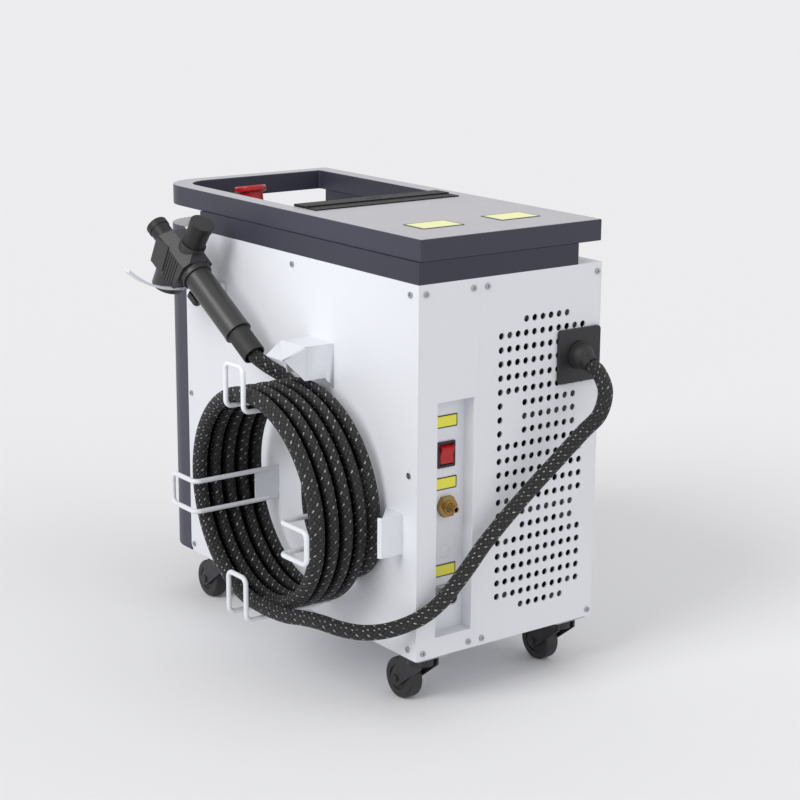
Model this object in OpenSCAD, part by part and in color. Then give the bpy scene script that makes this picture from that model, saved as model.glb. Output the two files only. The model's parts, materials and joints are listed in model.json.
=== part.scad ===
// Laser cleaning machine: a white sheet-metal cabinet on four swivel casters,
// with a handle slab on top, a cleaning gun on its holder, and a coiled hose.
// +X is the hose side, +Y the rear, -Y the front with the handle bar, +Z up.
// The origin is on the floor, under the middle of the cabinet.

/* [Cabinet] */
// Width of the cabinet, from the far side to the hose side
cab_w = 270; // [262:1:300]
// Depth of the cabinet, from front panel to rear panel
cab_d = 500; // [490:1:540]
// Height of the cabinet without casters and neck
cab_h = 440; // [436:1:480]
// Thickness of the sheet metal
sheet_t = 2; // [1.5:0.25:2.5]
// Radius of the lower front corner of a side panel
side_corner_r = 12; // [4:1:20]
// Leg width of the angle frame inside the cabinet
frame_leg = 19; // [16:1:20]
// Thickness of the angle frame
frame_t = 2; // [1.5:0.25:3]
// Wall of the moulded fascia
fascia_wall = 3; // [2:0.5:4]
// Head diameter of the panel screws
screw_head_d = 7; // [5:0.5:9]
// Height of a screw head
screw_head_t = 1.6; // [1:0.1:2.4]
// Shank diameter of the panel screws
screw_d = 3; // [2.5:0.1:4]

/* [Connector bay] */
// Width of the rear panel that holds the connectors
conn_w = 87; // [84:1:90]
// Distance from the hose side to the recess
recess_edge = 28; // [25:0.5:29]
// Width of the recess
recess_w = 52.6; // [50:0.2:54]
// Drop from the cabinet's top to the recess
recess_drop = 137; // [120:1:145]
// Height of the panel left under the recess
recess_foot = 24; // [22:1:40]
// Depth of the recess
recess_depth = 18; // [14:0.5:20]
// Wall of the recess tray
recess_wall = 1.5; // [1:0.1:2]
// Width of a label plate in the recess
label_w = 32; // [26:1:40]
// Height of a label plate in the recess
label_h = 15; // [12:0.5:18]
// Thickness of every label plate
label_t = 0.6; // [0.4:0.1:1]
// Width of the rocker switch's bezel
rocker_w = 25.5; // [24:0.5:27]
// Height of the rocker switch's bezel
rocker_h = 31; // [29:0.5:33]
// Thickness of the rocker switch's bezel
rocker_flange_t = 1.8; // [1.2:0.1:2.4]
// Travel of the rocker, from one side to the other, in degrees
rocker_swing = 20; // [12:1:24]
// Width across flats of the gas inlet's hexagon
gas_hex = 23.5; // [20:0.5:26]
// Length of the gas inlet in front of the recess wall
gas_len = 21; // [18:0.5:24]
// Diameter of the gas inlet's hose tip
gas_tip_d = 8; // [7:0.5:10]
// Bore of the gas inlet
gas_bore = 5; // [3:0.5:6]
// Side of the power socket's square flange
socket_flange = 25; // [22:0.5:28]
// Diameter of the power socket's barrel
socket_d = 16; // [14:0.5:19]
// Length of the power socket in front of the recess wall
socket_len = 17; // [14:0.5:18]
// Diameter of the blanked-off port
port_d = 16; // [12:0.5:20]

/* [Grille] */
// Diameter of an air hole
hole_d = 8; // [6:0.25:9]
// Sideways distance between air holes
hole_pitch = 12.35; // [11.5:0.05:12.6]
// Upright distance between rows of air holes
row_pitch = 16.51; // [15.5:0.05:16.7]
// Columns of air holes
hole_cols = 11; // [9:1:11]
// Rows of air holes
hole_rows = 22; // [18:1:22]
// Distance from the hose side to the first column of air holes
grille_edge = 119.1; // [112:0.5:122]
// Drop from the cabinet's top to the first row of air holes
grille_drop = 55; // [50:1:60]

/* [Fans] */
// Side of a fan frame
fan_size = 120; // [116:1:120]
// Depth of a fan frame
fan_depth = 25; // [22:1:32]
// Upright distance between fans
fan_pitch = 121; // [120.5:0.5:124]
// Bore of a fan frame
fan_bore = 114; // [108:1:115]
// Diameter of a fan's hub
fan_hub_d = 38; // [30:1:44]
// Number of fan blades
fan_blades = 7; // [5:1:9]
// Diameter of a fan's shaft
fan_shaft_d = 3; // [2:0.5:4]

/* [Top] */
// Height of the neck under the handle slab
neck_h = 25; // [20:1:34]
// Wall of the neck
neck_wall = 4; // [3:0.5:5]
// Distance from the far side to the neck
neck_inset = 37; // [34:1:40]
// Distance from the cabinet's front to the neck's near arm
neck_setback = 38; // [30:1:50]
// Thickness of the handle slab
slab_t = 25.5; // [22:0.5:30]
// Inset of the slab from the cabinet's sides
slab_inset = 2; // [0:0.5:3]
// How far the slab reaches in front of the cabinet
slab_reach = 70; // [60:1:80]
// Radius of the slab's and the fascia's front corner on the hose side
slab_r = 52; // [40:1:56]
// Radius of their front corner on the far side
slab_far_r = 9; // [4:1:14]
// Depth of the handle bar, front to back
bar_d = 22; // [18:1:28]
// Width of the slab's arms beside the opening
arm_w = 24; // [20:1:28]
// Distance from the middle of the cabinet forward to the rear edge of the opening
opening_back = 35; // [25:1:45]
// Radius of the opening's front corner on the hose side
opening_r = 36; // [28:1:40]
// Radius of the opening's front corner on the far side
opening_far_r = 3; // [1:0.5:6]
// Skin over the hollow of the slab
slab_skin = 3.5; // [2.5:0.5:6]
// Wall of the console
console_wall = 3; // [2:0.5:4]
// How far the console's rear edge lies below the slab's top
console_drop = 3.5; // [2:0.5:6]
// Slope of the console in degrees
console_slope = 9.7; // [8:0.1:11]
// Width of the touch screen
screen_w = 176; // [140:1:190]
// Height of the touch screen
screen_h = 118; // [90:1:130]
// Thickness of the touch screen
screen_t = 2.4; // [1.6:0.2:4]
// Depth of the trim strip behind the opening
strip_d = 47; // [36:1:54]
// Height of each step of the trim strip
strip_t = 1.5; // [1:0.1:2.5]
// Width of a yellow plate on the slab
plate_w = 60; // [40:1:70]
// Depth of a yellow plate on the slab
plate_d = 40; // [30:1:50]
// Diameter of the emergency stop's mushroom
stop_d = 41; // [38:1:46]
// Thickness of the emergency stop's mushroom
stop_t = 8; // [6:0.5:10]
// Diameter of the emergency stop's neck
stop_neck_d = 31; // [28:1:36]
// Diameter of the emergency stop's plunger
stop_stem_d = 10; // [8:0.5:12]
// Diameter of the emergency stop's collar
stop_collar_d = 30; // [28:1:34]
// Height of the emergency stop's collar
stop_collar_h = 9; // [7:0.5:10]
// Travel of the emergency stop
stop_travel = 5; // [3:0.5:5.5]

/* [Casters] */
// Total height of a caster
caster_h = 68; // [67:0.5:76]
// Diameter of a wheel
wheel_d = 50; // [46:1:50]
// Width of a wheel
wheel_w = 20; // [18:1:24]
// Distance from the swivel to the wheel's axle
caster_trail = 32; // [30:1:34]
// Side of a caster's plate
caster_plate = 50; // [46:1:52]
// Thickness of a caster's plate
caster_plate_t = 3; // [2.5:0.5:4]
// Distance from a caster's swivel to the cabinet's side
caster_inset_x = 29; // [26:1:34]
// Distance from a rear caster's swivel to the rear
caster_inset_rear = 28; // [26:1:34]
// Distance from a front caster's swivel to the front
caster_inset_front = 38; // [30:1:44]
// Diameter of a wheel's axle
axle_d = 6; // [5:0.5:8]
// Diameter of a caster's kingpin
kingpin_d = 10; // [8:0.5:12]
// Thickness of a cheek of a caster's fork
cheek_t = 3; // [2:0.5:4]

/* [Hose] */
// Diameter of the hose
hose_d = 18; // [16:0.5:18]
// Number of turns in the coil
coil_turns = 4.75; // [4.75]
// Half the coil's width at the middle of the hose
coil_ry = 118.5; // [118:0.1:119]
// Half the coil's height at the middle of the hose
coil_rz = 127; // [126.5:0.1:127.5]
// Distance between neighbouring turns
coil_pitch = 19.5; // [19:0.1:20]
// How far the top of the coil leans out
coil_lean = 8; // [7:0.25:9]
// Distance from the side panel to the start of the coil
coil_gap = 14.5; // [14:0.1:15]
// Place of the coil's middle behind the middle of the cabinet
coil_y = 66.5; // [66:0.1:67]
// Height of the coil's middle above the cabinet's bottom
coil_z = 167; // [166:0.25:168]

/* [Hose hooks] */
// Diameter of the bent hook rod
rod_d = 6; // [4:0.5:7]
// Bend radius of the hook rod
rod_bend = 8; // [5:0.5:10]
// Distance between the two rods of a hook
rod_spacing = 38; // [30:1:44]
// How far the hooks reach from the side panel
hook_reach = 120; // [118:0.5:130]
// Length of a hook's turned-up tip
hook_tip = 52.5; // [40:0.5:56]
// Length of a hook's sheet tab
tab_len = 35; // [25:1:40]
// Width of the upper coil guard
guard_w = 50.5; // [46:0.5:54]
// How far the upper coil guard stands off the side panel
guard_reach = 41; // [36:1:44]
// Length of the upper coil guard's bent lip
guard_lip = 34; // [26:1:38]
// Height of the rear coil guard
rear_guard_h = 48; // [42:1:54]
// How far the rear coil guard stands off the side panel
rear_guard_reach = 30; // [26:1:32]
// Length of the rear coil guard's bent lip
rear_guard_lip = 5; // [4:0.5:6]

/* [Gun] */
// Distance of the gun from the side panel
gun_out = 47; // [45:0.5:49]
// Slope of the gun in degrees
gun_pitch = 36.8; // [36.4:0.1:37.2]
// Turn of the gun towards the side panel in degrees
gun_yaw = 7.3; // [7:0.1:7.6]
// Diameter of the handle
handle_d = 34.5; // [33:0.5:37]
// Length of the handle
handle_len = 99.5; // [99:0.1:100]
// Diameter of the rear sleeve
sleeve_d = 29; // [27:0.5:31]
// Length of the rear sleeve
sleeve_len = 38; // [37.5:0.1:38.5]
// Bore of the rear sleeve
sleeve_bore = 24; // [22:0.5:25]
// Depth of the rear sleeve's bore
sleeve_bore_depth = 15; // [12:0.5:20]
// Diameter of the collar
collar_d = 40.5; // [39.5:0.5:43]
// Length of the collar
collar_len = 8; // [7:0.5:12]
// Width of the gun's head
head_w = 46; // [42:1:50]
// Length of the gun's head in front of the collar
head_len = 60; // [57:0.5:61]
// Half the height of the gun's head
head_half_h = 27; // [24:1:28]
// Diameter of the front scanner motor
motor_d = 28; // [26:0.5:30]
// Length of the front scanner motor
motor_len = 26.5; // [22:0.5:32]
// Diameter of the upper scanner motor
top_motor_d = 31; // [28:0.5:33]
// Length of the upper scanner motor
top_motor_len = 33; // [26:1:36]
// Diameter of the nozzle's open end
nozzle_d = 41.5; // [40.5:0.5:43]
// Length of the nozzle
nozzle_len = 25; // [22:0.5:27]
// Diameter of the trigger's stem
trigger_stem_d = 6; // [5:0.5:7]
// Travel of the trigger
trigger_travel = 4; // [2:0.5:4.5]
// Thickness of the holder's arm
holder_t = 3; // [2.5:0.5:4]
// Width of the holder's arm
holder_w = 13; // [10:0.5:13]

/* [Hidden] */
$fn = 48;

// Clearances and overruns
over = 1;
slip = 0.05;
ease = 0.3;

// Main planes
side_x = cab_w / 2;
rear_y = cab_d / 2;
front_y = -cab_d / 2;
top_z = caster_h + cab_h;
in_x = side_x - sheet_t;
in_rear = rear_y - sheet_t;
slab_z = top_z + neck_h;
slab_top = slab_z + slab_t;

// Screw places, from the edges of the panels they hold
screw_low = 11;
screw_mid = cab_h / 2;
screw_high = 12.5;
screw_rear_edge = 15;
screw_rear_low = 8.4;
screw_rear_high = 10.9;
screw_front_edge = 8.3;
screw_seam = 10;
screw_side_edge = 7;
screw_sink = 1;
slot_w = 1;

// Connector bay
conn_x = side_x - conn_w;
recess_x = side_x - recess_edge - recess_w / 2;
recess_z1 = top_z - recess_drop;
recess_h = cab_h - recess_drop - recess_foot;
recess_z0 = recess_z1 - recess_h;
recess_y = rear_y - recess_depth;
rocker_share = 0.24014;
gas_share = 0.46093;
port_share = 0.6595;
socket_share = 0.84839;
label_shares = [0.10036, 0.3638, 0.73943];
rocker_drop = recess_drop + rocker_share * recess_h;
gas_drop = recess_drop + gas_share * recess_h;
port_drop = recess_drop + port_share * recess_h;
socket_drop = recess_drop + socket_share * recess_h;
label_drops = [for (share = label_shares) recess_drop + share * recess_h];
rocker_wall = 1;
rocker_frame = 2.25;
rocker_trim = 1.5;
rocker_body = 20;
rocker_pivot = 3;
rocker_pin_d = 3;
rocker_crown = 7.5;
rocker_notch = 5.2;
rocker_root = 3;
gas_hex_t = 7;
gas_neck_d = 16;
gas_neck_t = 2;
gas_cone_t = 6;
gas_shank_d = 12;
gas_shank = 10;
gas_nut_t = 4;
socket_flange_t = 3;
socket_wall = 2;
socket_floor = 5;
contact_d = 1.6;
contact_r = 3;
port_t = 0.6;
port_groove = 1.5;
plate_side = 65;
plate_t = 4;
plate_r = 5;
plate_far = 34.2;
plate_drop = 107.5;
gland_d = 34;
gland_ring = 3;
gland_ball_d = 30;
gland_stub_d = 21;
gland_stub = 20;
gland_dip = 25;

// Fans
fan_x = side_x - grille_edge - hole_pitch * (hole_cols - 1) / 2;
fan_mid_z = top_z - grille_drop - row_pitch * (hole_rows - 1) / 2;
fan_r = 6;
fan_screw_d = 4.3;
fan_screw_in = 7.5;
fan_base_t = 3;
fan_strut_w = 6;
fan_hub_len = 17;
fan_end = 2;
fan_tip_gap = 2;
blade_t = 1.6;
blade_w = 20;
blade_pitch = 38;
shaft_len = 13;

// Top
strip_step_d = 26;
light_w = 24;
light_d = 3;
plate_x = 57;
plate_y = 174.5;
arm_x0 = -side_x + slab_inset + arm_w;
arm_x1 = side_x - slab_inset - arm_w;
bar_y = front_y - slab_reach + bar_d;
pocket_wall = 10;
neck_x0 = -side_x + neck_inset;
cheek_w = 16;
cheek_ahead = 34;
cheek_y = front_y - cheek_ahead;
cheek_link = 15;
console_y1 = -opening_back - ease;
console_z1 = slab_top - console_drop;
facet_slope = 30;
facet_in = 28;
facet_y = front_y + facet_in;
facet_z = console_z1 - (console_y1 - facet_y) * tan(console_slope);
console_y0 = facet_y - (facet_z - top_z) / tan(facet_slope);
screen_back = 32;
stop_x = 60;
stop_back = 172;
stop_stem_low = 1;
stop_neck_low = stop_collar_h + stop_travel + 2 * ease;
stop_neck_len = 11.5;
stop_disc_low = stop_neck_low + stop_neck_len;
stop_round = 2.5;

// Casters
wheel_r = wheel_d / 2;
caster_x = side_x - caster_inset_x;
caster_rear = rear_y - caster_inset_rear;
caster_front = front_y + caster_inset_front;
caster_corner = 5;
fork_air = 0.5;
fork_in = wheel_w / 2 + fork_air;
fork_top = caster_h - caster_plate_t - 2 * slip;
crown_d = 34;
crown_low = 52;
kingpin_len = 11;
tyre_r = 4;
hub_d = 30;
hub_dish = 2;
fork_boss_r = 9;
cheek_low_slope = 38;
cheek_back_slope = 57;
axle_head_d = 10;
axle_head_t = 2;

// Hose
hose_r = hose_d / 2;
coil_x = side_x + coil_gap;
coil_h = caster_h + coil_z;
coil_rings = 24;
coil_sides = 6;
hose_sides = 10;

// Hooks; the ring hangs on the upper hook and the others hold it in
hook_y = 58.5;
tab_t = 2;
tab_edge = 2;
rod_start = 15;
hook_top_in = 16;
hook_top_z = coil_h + coil_rz - hook_top_in;
hook_bottom_out = 16;
hook_bottom_z = coil_h - coil_rz - hook_bottom_out;
hook_rear_y = 153;
hook_front_y = -34;
hook_rear_low = 19.5;
hook_rear_z = coil_h - hook_rear_low;
hook_front_low = 18;
hook_front_z = coil_h - hook_front_low;
guard_over = 52;
guard_top_z = coil_h + coil_rz + guard_over;
guard_top_y = 61;
guard_taper = 17;
guard_foot = 13;
guard_foot_low = 14;
guard_top_low = 40;
guard_t = 2;
guard_rear_y = 223.6;
guard_rear_low = 19;
guard_rear_z = coil_h - guard_rear_low;
guard_lip_slope = 18.5;
guard_cheek_share = 0.8;
rear_guard_slope = 55;
rear_guard_gusset = 32;

// Gun; its own frame has +Y along the handle to the hose, +Z to the top motor
gun_x = side_x + gun_out;
gun_y = -143.7;
gun_up = 396;
gun_z = caster_h + gun_up;
collar_y = -6;
sleeve_step = 2;
sleeve_lip = 1.2;
grip_ring_w = 2;
grip_ring_t = 0.8;
head_back = 4;
head_top = 24.5;
head_chamfer = 13;
head_brow = 7;
head_knee = 26;
head_chin = 6;
crook_run = 14;
crook_rise = 3;
nape_run = 8;
nape_drop = 6;
boss_d = 33;
boss_t = 5;
motor_z = -4.5;
motor_cap_d = 2;
motor_cap_t = 9;
top_motor_y = -27;
top_motor_tilt = 3;
top_boss_low = 16;
nozzle_y = -40.6;
nozzle_tilt = 11;
nozzle_top_d = 40;
nozzle_bore = 36;
nozzle_step = 6;
lens_t = 3;
rib_count = 5;
rib_pitch = 4.6;
rib_w = 2;
rib_t = 1;
rib_y = -30;
rib_tilt = 10;
rib_h = 38;
cover_w = 24;
cover_rise = 35;
cover_t = 1.5;
cover_y = -57.5;
cover_tilt = 12;
trigger_len = 21;
trigger_gap = 0.5;
trigger_y = collar_y + collar_len + trigger_gap + trigger_len / 2;
trigger_air = 1.75;
trigger_t = 7;
trigger_high = -handle_d / 2 - trigger_travel - trigger_air;
trigger_low = trigger_high - trigger_t;
trigger_w = 11;
trigger_stem_top = -9;
trigger_hole_top = -4;

// Holder: the gun hangs by its crook on an arm with a turned-up tip
holder_y = -173.5;
holder_under = 15.8;
holder_top = gun_z - holder_under;
holder_rise = 30.5;
holder_run = 74.5;
holder_flat = 58;
holder_base_y = -246;
holder_base_w = 94;
holder_base_h = 42;
holder_base_t = 2;
holder_tip_d = 5;

// Inside
inside_edge = 7;
supply_edge = 9;
inside_gap = 10;
supply_w = 72;
supply_x = in_x - supply_edge - supply_w / 2;
source_w = 2 * in_x - inside_edge - supply_edge - supply_w - inside_gap;
source_x = -in_x + inside_edge + source_w / 2;
source_d = 300;
source_h = 110;
source_y = -70;
fin_count = 12;
fin_w = 3;
fin_h = 6;
fibre_port_d = 22;
fibre_port = 18;
supply_d = 200;
supply_h = 52;
supply_y = -60;
vent_count = 8;
vent_w = 3;
board_w = 110;
board_d = 160;
board_t = 1.6;
board_post = 8;
board_post_d = 7;
board_edge = 8;
chip_w = 24;
chip_t = 3;

// Route of the hose from the gun to the coil, after its straight start
tail_points = [[160, -16.2, 370.1], [149.2, -2, 360.4], [144.3, 13, 348.3], [144.3, 28.5, 328.5],
    [144.3, 37.5, 307], [144.3, 42.5, 284.5], [144.3, 45, 262], [144.3, 46, 240],
    [144.3, 46.5, 217.5], [144.3, 50.5, 196], [144.3, 61, 176.5], [144.3, 78, 162],
    [144.3, 98.5, 153.5], [144.3, 120.5, 149.5], [144.3, 143, 152], [144.3, 164.5, 164],
    [145.2, 179, 182.5]];
// Route of the hose from the coil, round the rear corner and up to the gland
run_points = [[229.7, 124.8, 108], [221.8, 148.6, 110.4], [213.7, 172.2, 110.8], [202, 194, 107],
    [187, 215, 105.5], [170, 234, 109], [151, 250, 117], [130.5, 261, 128], [110, 266.5, 143],
    [91, 267.5, 160], [72, 268, 178], [53.5, 267.5, 196.5], [34.5, 268.5, 214],
    [15.5, 270.5, 231.5], [-4, 272.5, 248.5], [-23, 275.5, 265.5], [-41.5, 280, 283],
    [-58, 287, 302], [-72, 296, 321], [-84.5, 309, 342.5], [-96, 305, 368]];

// Helpers
module slab_y(y1, t) {
    translate([0, y1, 0]) rotate([90, 0, 0]) linear_extrude(t) children();
}
module slab_x(x0, t) {
    translate([x0, 0, 0]) rotate([90, 0, 90]) linear_extrude(t) children();
}
module rod_y(d, y0, y1) {
    translate([0, y0, 0]) rotate([-90, 0, 0]) cylinder(d = d, h = y1 - y0);
}
module rod_x(d, x0, x1) {
    translate([x0, 0, 0]) rotate([0, 90, 0]) cylinder(d = d, h = x1 - x0);
}
module box(x0, x1, y0, y1, z0, z1) {
    translate([x0, y0, z0]) cube([x1 - x0, y1 - y0, z1 - z0]);
}
module area(x0, x1, z0, z1) {
    translate([x0, z0]) square([x1 - x0, z1 - z0]);
}
module round_rect(w, h, r) {
    square([w - 2 * r, h], center = true);
    square([w, h - 2 * r], center = true);
    for (a = [-1, 1], b = [-1, 1]) translate([a * (w / 2 - r), b * (h / 2 - r)]) circle(r);
}
module white() color([0.93, 0.93, 0.95]) children();
module slate() color([0.27, 0.28, 0.34]) children();
module black() color([0.12, 0.12, 0.13]) children();
module yellow() color([0.88, 0.86, 0.2]) children();
module red() color([0.75, 0.08, 0.08]) children();
module steel() color([0.7, 0.7, 0.72]) children();

// A tube swept along points, its rings kept upright by a reference direction
function unit(v) = v / norm(v);
function heading(p, i) = unit(p[min(i + 1, len(p) - 1)] - p[max(i - 1, 0)]);
function ring(p, i, r, n, ref) = let (t = heading(p, i), u = unit(ref - (ref * t) * t), v = cross(t, u))
    [for (k = [0:n - 1]) p[i] + r * cos(360 * k / n) * u + r * sin(360 * k / n) * v];
module tube(p, r, n, ref) {
    last = len(p) - 1;
    sides = [for (i = [0:last - 1], k = [0:n - 1], h = [0, 1])
        let (a = i * n + k, b = i * n + (k + 1) % n)
        h == 0 ? [a, b, b + n] : [a, b + n, a + n]];
    start = [for (k = [1:n - 2]) [0, k + 1, k]];
    end = [for (k = [1:n - 2]) [last * n, last * n + k, last * n + k + 1]];
    polyhedron([for (i = [0:last]) each ring(p, i, r, n, ref)], concat(sides, start, end));
}

// Screws: each is placed with +Z out of its panel
module side_screw_spots() {
    for (y = [rear_y - screw_rear_edge, 0, front_y + screw_front_edge])
        for (z = [caster_h + screw_low, caster_h + screw_mid, top_z - screw_high])
            if (y != 0 || z != caster_h + screw_mid) translate([0, y, z]) children();
}
module screw_spots() {
    translate([side_x, 0, 0]) side_screw_spots() rotate([0, 90, 0]) children();
    translate([-side_x, 0, 0]) side_screw_spots() rotate([0, -90, 0]) children();
    for (x = [side_x - screw_seam, conn_x + screw_seam, conn_x - screw_seam, -side_x + screw_side_edge])
        for (z = [caster_h + screw_rear_low, top_z - screw_rear_high])
            translate([x, rear_y, z]) rotate([-90, 0, 0]) children();
}
module screw_holes() {
    screw_spots() translate([0, 0, -sheet_t - frame_t - over])
        cylinder(d = screw_d + 4 * slip, h = sheet_t + frame_t + 2 * over);
}
module panel_screws() steel() screw_spots() difference() {
    union() {
        cylinder(d = screw_head_d, h = screw_head_t);
        translate([0, 0, -sheet_t - frame_t]) cylinder(d = screw_d, h = sheet_t + frame_t + over);
    }
    for (a = [0, 90]) rotate(a) translate([-screw_head_d / 4, -slot_w / 2, screw_head_t - screw_sink])
        cube([screw_head_d / 2, slot_w, screw_sink + over]);
}

// Cabinet
module base_plate() white() box(-in_x, in_x, front_y, in_rear, caster_h, caster_h + sheet_t);
module top_plate() white() box(-in_x, in_x, front_y, in_rear, top_z - sheet_t, top_z);
module side_panel(x0) {
    difference() {
        slab_x(x0, sheet_t) difference() {
            union() {
                area(front_y, rear_y, caster_h + side_corner_r, top_z);
                area(front_y + side_corner_r, rear_y, caster_h, top_z);
                translate([front_y + side_corner_r, caster_h + side_corner_r]) circle(side_corner_r);
            }
        }
        screw_holes();
    }
}
module hose_side_panel() white() side_panel(in_x);
module far_side_panel() white() side_panel(-side_x);
module nose_outline(w, y1, t) {
    y0 = front_y - slab_reach;
    intersection() {
        union() {
            area(-w / 2 + t, w / 2 - t, y0 + slab_r, y1);
            area(-w / 2 + slab_far_r, w / 2 - slab_r, y0 + t, y1);
            area(-w / 2 + t, w / 2 - slab_r, y0 + slab_far_r, y1);
            translate([w / 2 - slab_r, y0 + slab_r]) circle(slab_r - t);
            translate([-w / 2 + slab_far_r, y0 + slab_far_r]) circle(slab_far_r - t);
        }
        area(-w / 2, w / 2, y0, y1);
    }
}
module front_fascia() slate() translate([0, 0, caster_h]) difference() {
    linear_extrude(cab_h) nose_outline(cab_w, front_y, 0);
    translate([0, 0, fascia_wall]) linear_extrude(cab_h - 2 * fascia_wall)
        nose_outline(cab_w, front_y + over, fascia_wall);
}
function hole_here(c, r) =
    r == 1 || r == hole_rows ? c >= 4 && c <= hole_cols - 2 :
    (r >= 7 && r <= 9) || (r >= 15 && r <= 16) ? c == 1 || (c >= 4 && c < hole_cols) : true;
module grille_panel() white() difference() {
    slab_y(rear_y, sheet_t) difference() {
        area(-in_x, conn_x, caster_h, top_z);
        for (c = [1:hole_cols], r = [1:hole_rows]) if (hole_here(c, r))
            translate([side_x - grille_edge - (c - 1) * hole_pitch,
                top_z - grille_drop - (r - 1) * row_pitch]) circle(d = hole_d);
    }
    screw_holes();
}
module connector_panel() white() difference() {
    slab_y(rear_y, sheet_t) difference() {
        area(conn_x, in_x, caster_h, top_z);
        area(recess_x - recess_w / 2, recess_x + recess_w / 2, recess_z0, recess_z1);
    }
    screw_holes();
}
module recess_tray() white() difference() {
    box(recess_x - recess_w / 2 - recess_wall, recess_x + recess_w / 2 + recess_wall,
        recess_y - recess_wall, in_rear, recess_z0 - recess_wall, recess_z1 + recess_wall);
    box(recess_x - recess_w / 2, recess_x + recess_w / 2, recess_y, in_rear + over, recess_z0, recess_z1);
    translate([recess_x, 0, top_z - rocker_drop])
        box(-rocker_box_w / 2 - ease, rocker_box_w / 2 + ease, recess_y - recess_wall - over, recess_y + over,
            -rocker_box_h / 2 - ease, rocker_box_h / 2 + ease);
    translate([recess_x, 0, top_z - gas_drop])
        rod_y(gas_shank_d + 4 * slip, recess_y - recess_wall - over, recess_y + over);
    translate([recess_x, 0, top_z - port_drop]) difference() {
        rod_y(port_d, recess_y - port_t, recess_y + over);
        rod_y(port_d - port_groove, recess_y - port_t - over, recess_y + 2 * over);
    }
}
module frame_ring(z0) {
    difference() {
        box(-in_x, in_x, front_y, in_rear, z0, z0 + frame_leg);
        box(-in_x + frame_t, in_x - frame_t, front_y + frame_t, in_rear - frame_t, z0 - over,
            z0 + frame_leg + over);
    }
}
module inner_frame() steel() difference() {
    union() {
        frame_ring(caster_h + sheet_t);
        frame_ring(top_z - sheet_t - frame_leg);
        for (sx = [0, 1], sy = [0, 1]) mirror([sx, 0, 0]) {
            y0 = sy == 0 ? in_rear - frame_leg : front_y;
            y1 = sy == 0 ? in_rear - frame_t : front_y;
            box(in_x - frame_t, in_x, y0, y0 + frame_leg, caster_h + sheet_t, top_z - sheet_t);
            box(in_x - frame_leg, in_x, y1, y1 + frame_t, caster_h + sheet_t, top_z - sheet_t);
        }
    }
    screw_holes();
}

// Top
module neck() slate() translate([0, 0, top_z]) linear_extrude(neck_h) difference() {
    polygon([[side_x, rear_y], [side_x, front_y + neck_setback], [arm_x1, front_y + neck_setback],
        [arm_x1, -opening_back], [arm_x0, -opening_back], [arm_x0, cheek_y],
        [arm_x0 - cheek_w, cheek_y], [arm_x0 - cheek_w, -opening_back + cheek_link],
        [neck_x0, -opening_back + cheek_link], [neck_x0, rear_y]]);
    area(neck_x0 + neck_wall, side_x - neck_wall, -opening_back + neck_wall + cheek_link, rear_y - neck_wall);
    area(arm_x1 + neck_wall, side_x - neck_wall, front_y + neck_setback + neck_wall, -opening_back - neck_wall);
}
module slab_opening() {
    area(arm_x0, arm_x1, bar_y + opening_r, -opening_back);
    area(arm_x0 + opening_far_r, arm_x1 - opening_r, bar_y, -opening_back);
    area(arm_x0, arm_x1 - opening_r, bar_y + opening_far_r, -opening_back);
    translate([arm_x1 - opening_r, bar_y + opening_r]) circle(opening_r);
    translate([arm_x0 + opening_far_r, bar_y + opening_far_r]) circle(opening_far_r);
}
module handle_slab() slate() difference() {
    translate([0, 0, slab_z]) linear_extrude(slab_t) difference() {
        nose_outline(cab_w - 2 * slab_inset, rear_y, 0);
        slab_opening();
    }
    box(neck_x0 + pocket_wall, side_x - pocket_wall, -opening_back + cheek_link + pocket_wall,
        rear_y - pocket_wall, slab_z - over, slab_top - slab_skin);
}
module console_outline(t) {
    polygon([[console_y1 - t, top_z - over * sign(t)],
        [console_y1 - t, console_z1 - t * (1 + tan(console_slope))],
        [facet_y + t * sin(facet_slope), facet_z - t * cos(facet_slope) - t * tan(console_slope)],
        [console_y0 + t / sin(facet_slope), top_z - over * sign(t)]]);
}
module console() slate() difference() {
    slab_x(arm_x0 + ease, arm_x1 - arm_x0 - 2 * ease) console_outline(0);
    slab_x(arm_x0 + ease + console_wall, arm_x1 - arm_x0 - 2 * ease - 2 * console_wall)
        console_outline(console_wall);
}
module on_slope() {
    translate([0, console_y1, console_z1]) rotate([console_slope, 0, 0]) children();
}
module touch_screen() black() on_slope() translate([0, -screen_back - screen_h / 2, 0])
    linear_extrude(screen_t) round_rect(screen_w, screen_h, 2 * screen_t);
module trim_strip() black() difference() {
    union() {
        box(arm_x0, arm_x1, -opening_back, strip_d - opening_back, slab_top, slab_top + strip_t);
        box(arm_x0, arm_x1, -opening_back, strip_step_d - opening_back, slab_top, slab_top + 2 * strip_t);
    }
    translate([0, -opening_back + strip_step_d / 2, slab_top + 2 * strip_t])
        cube([light_w, light_d, strip_t], center = true);
}
module top_plates() yellow() for (s = [-1, 1])
    translate([s * plate_x, plate_y, slab_top]) linear_extrude(label_t) round_rect(plate_w, plate_d, 2);
module at_stop() on_slope() translate([stop_x, -stop_back, 0]) children();
module stop_collar() yellow() at_stop() difference() {
    cylinder(d = stop_collar_d, h = stop_collar_h);
    translate([0, 0, stop_stem_low - over]) cylinder(d = stop_stem_d + 2 * slip, h = stop_collar_h);
}
module stop_button() red() at_stop() {
    translate([0, 0, stop_stem_low + stop_travel]) cylinder(d = stop_stem_d, h = stop_neck_low - stop_travel);
    translate([0, 0, stop_neck_low]) cylinder(d = stop_neck_d, h = stop_disc_low - stop_neck_low + over);
    translate([0, 0, stop_disc_low]) rotate_extrude() {
        square([stop_d / 2 - stop_round, stop_t]);
        translate([0, stop_round]) square([stop_d / 2, stop_t - 2 * stop_round]);
        for (z = [stop_round, stop_t - stop_round])
            translate([stop_d / 2 - stop_round, z]) circle(stop_round);
    }
}

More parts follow.
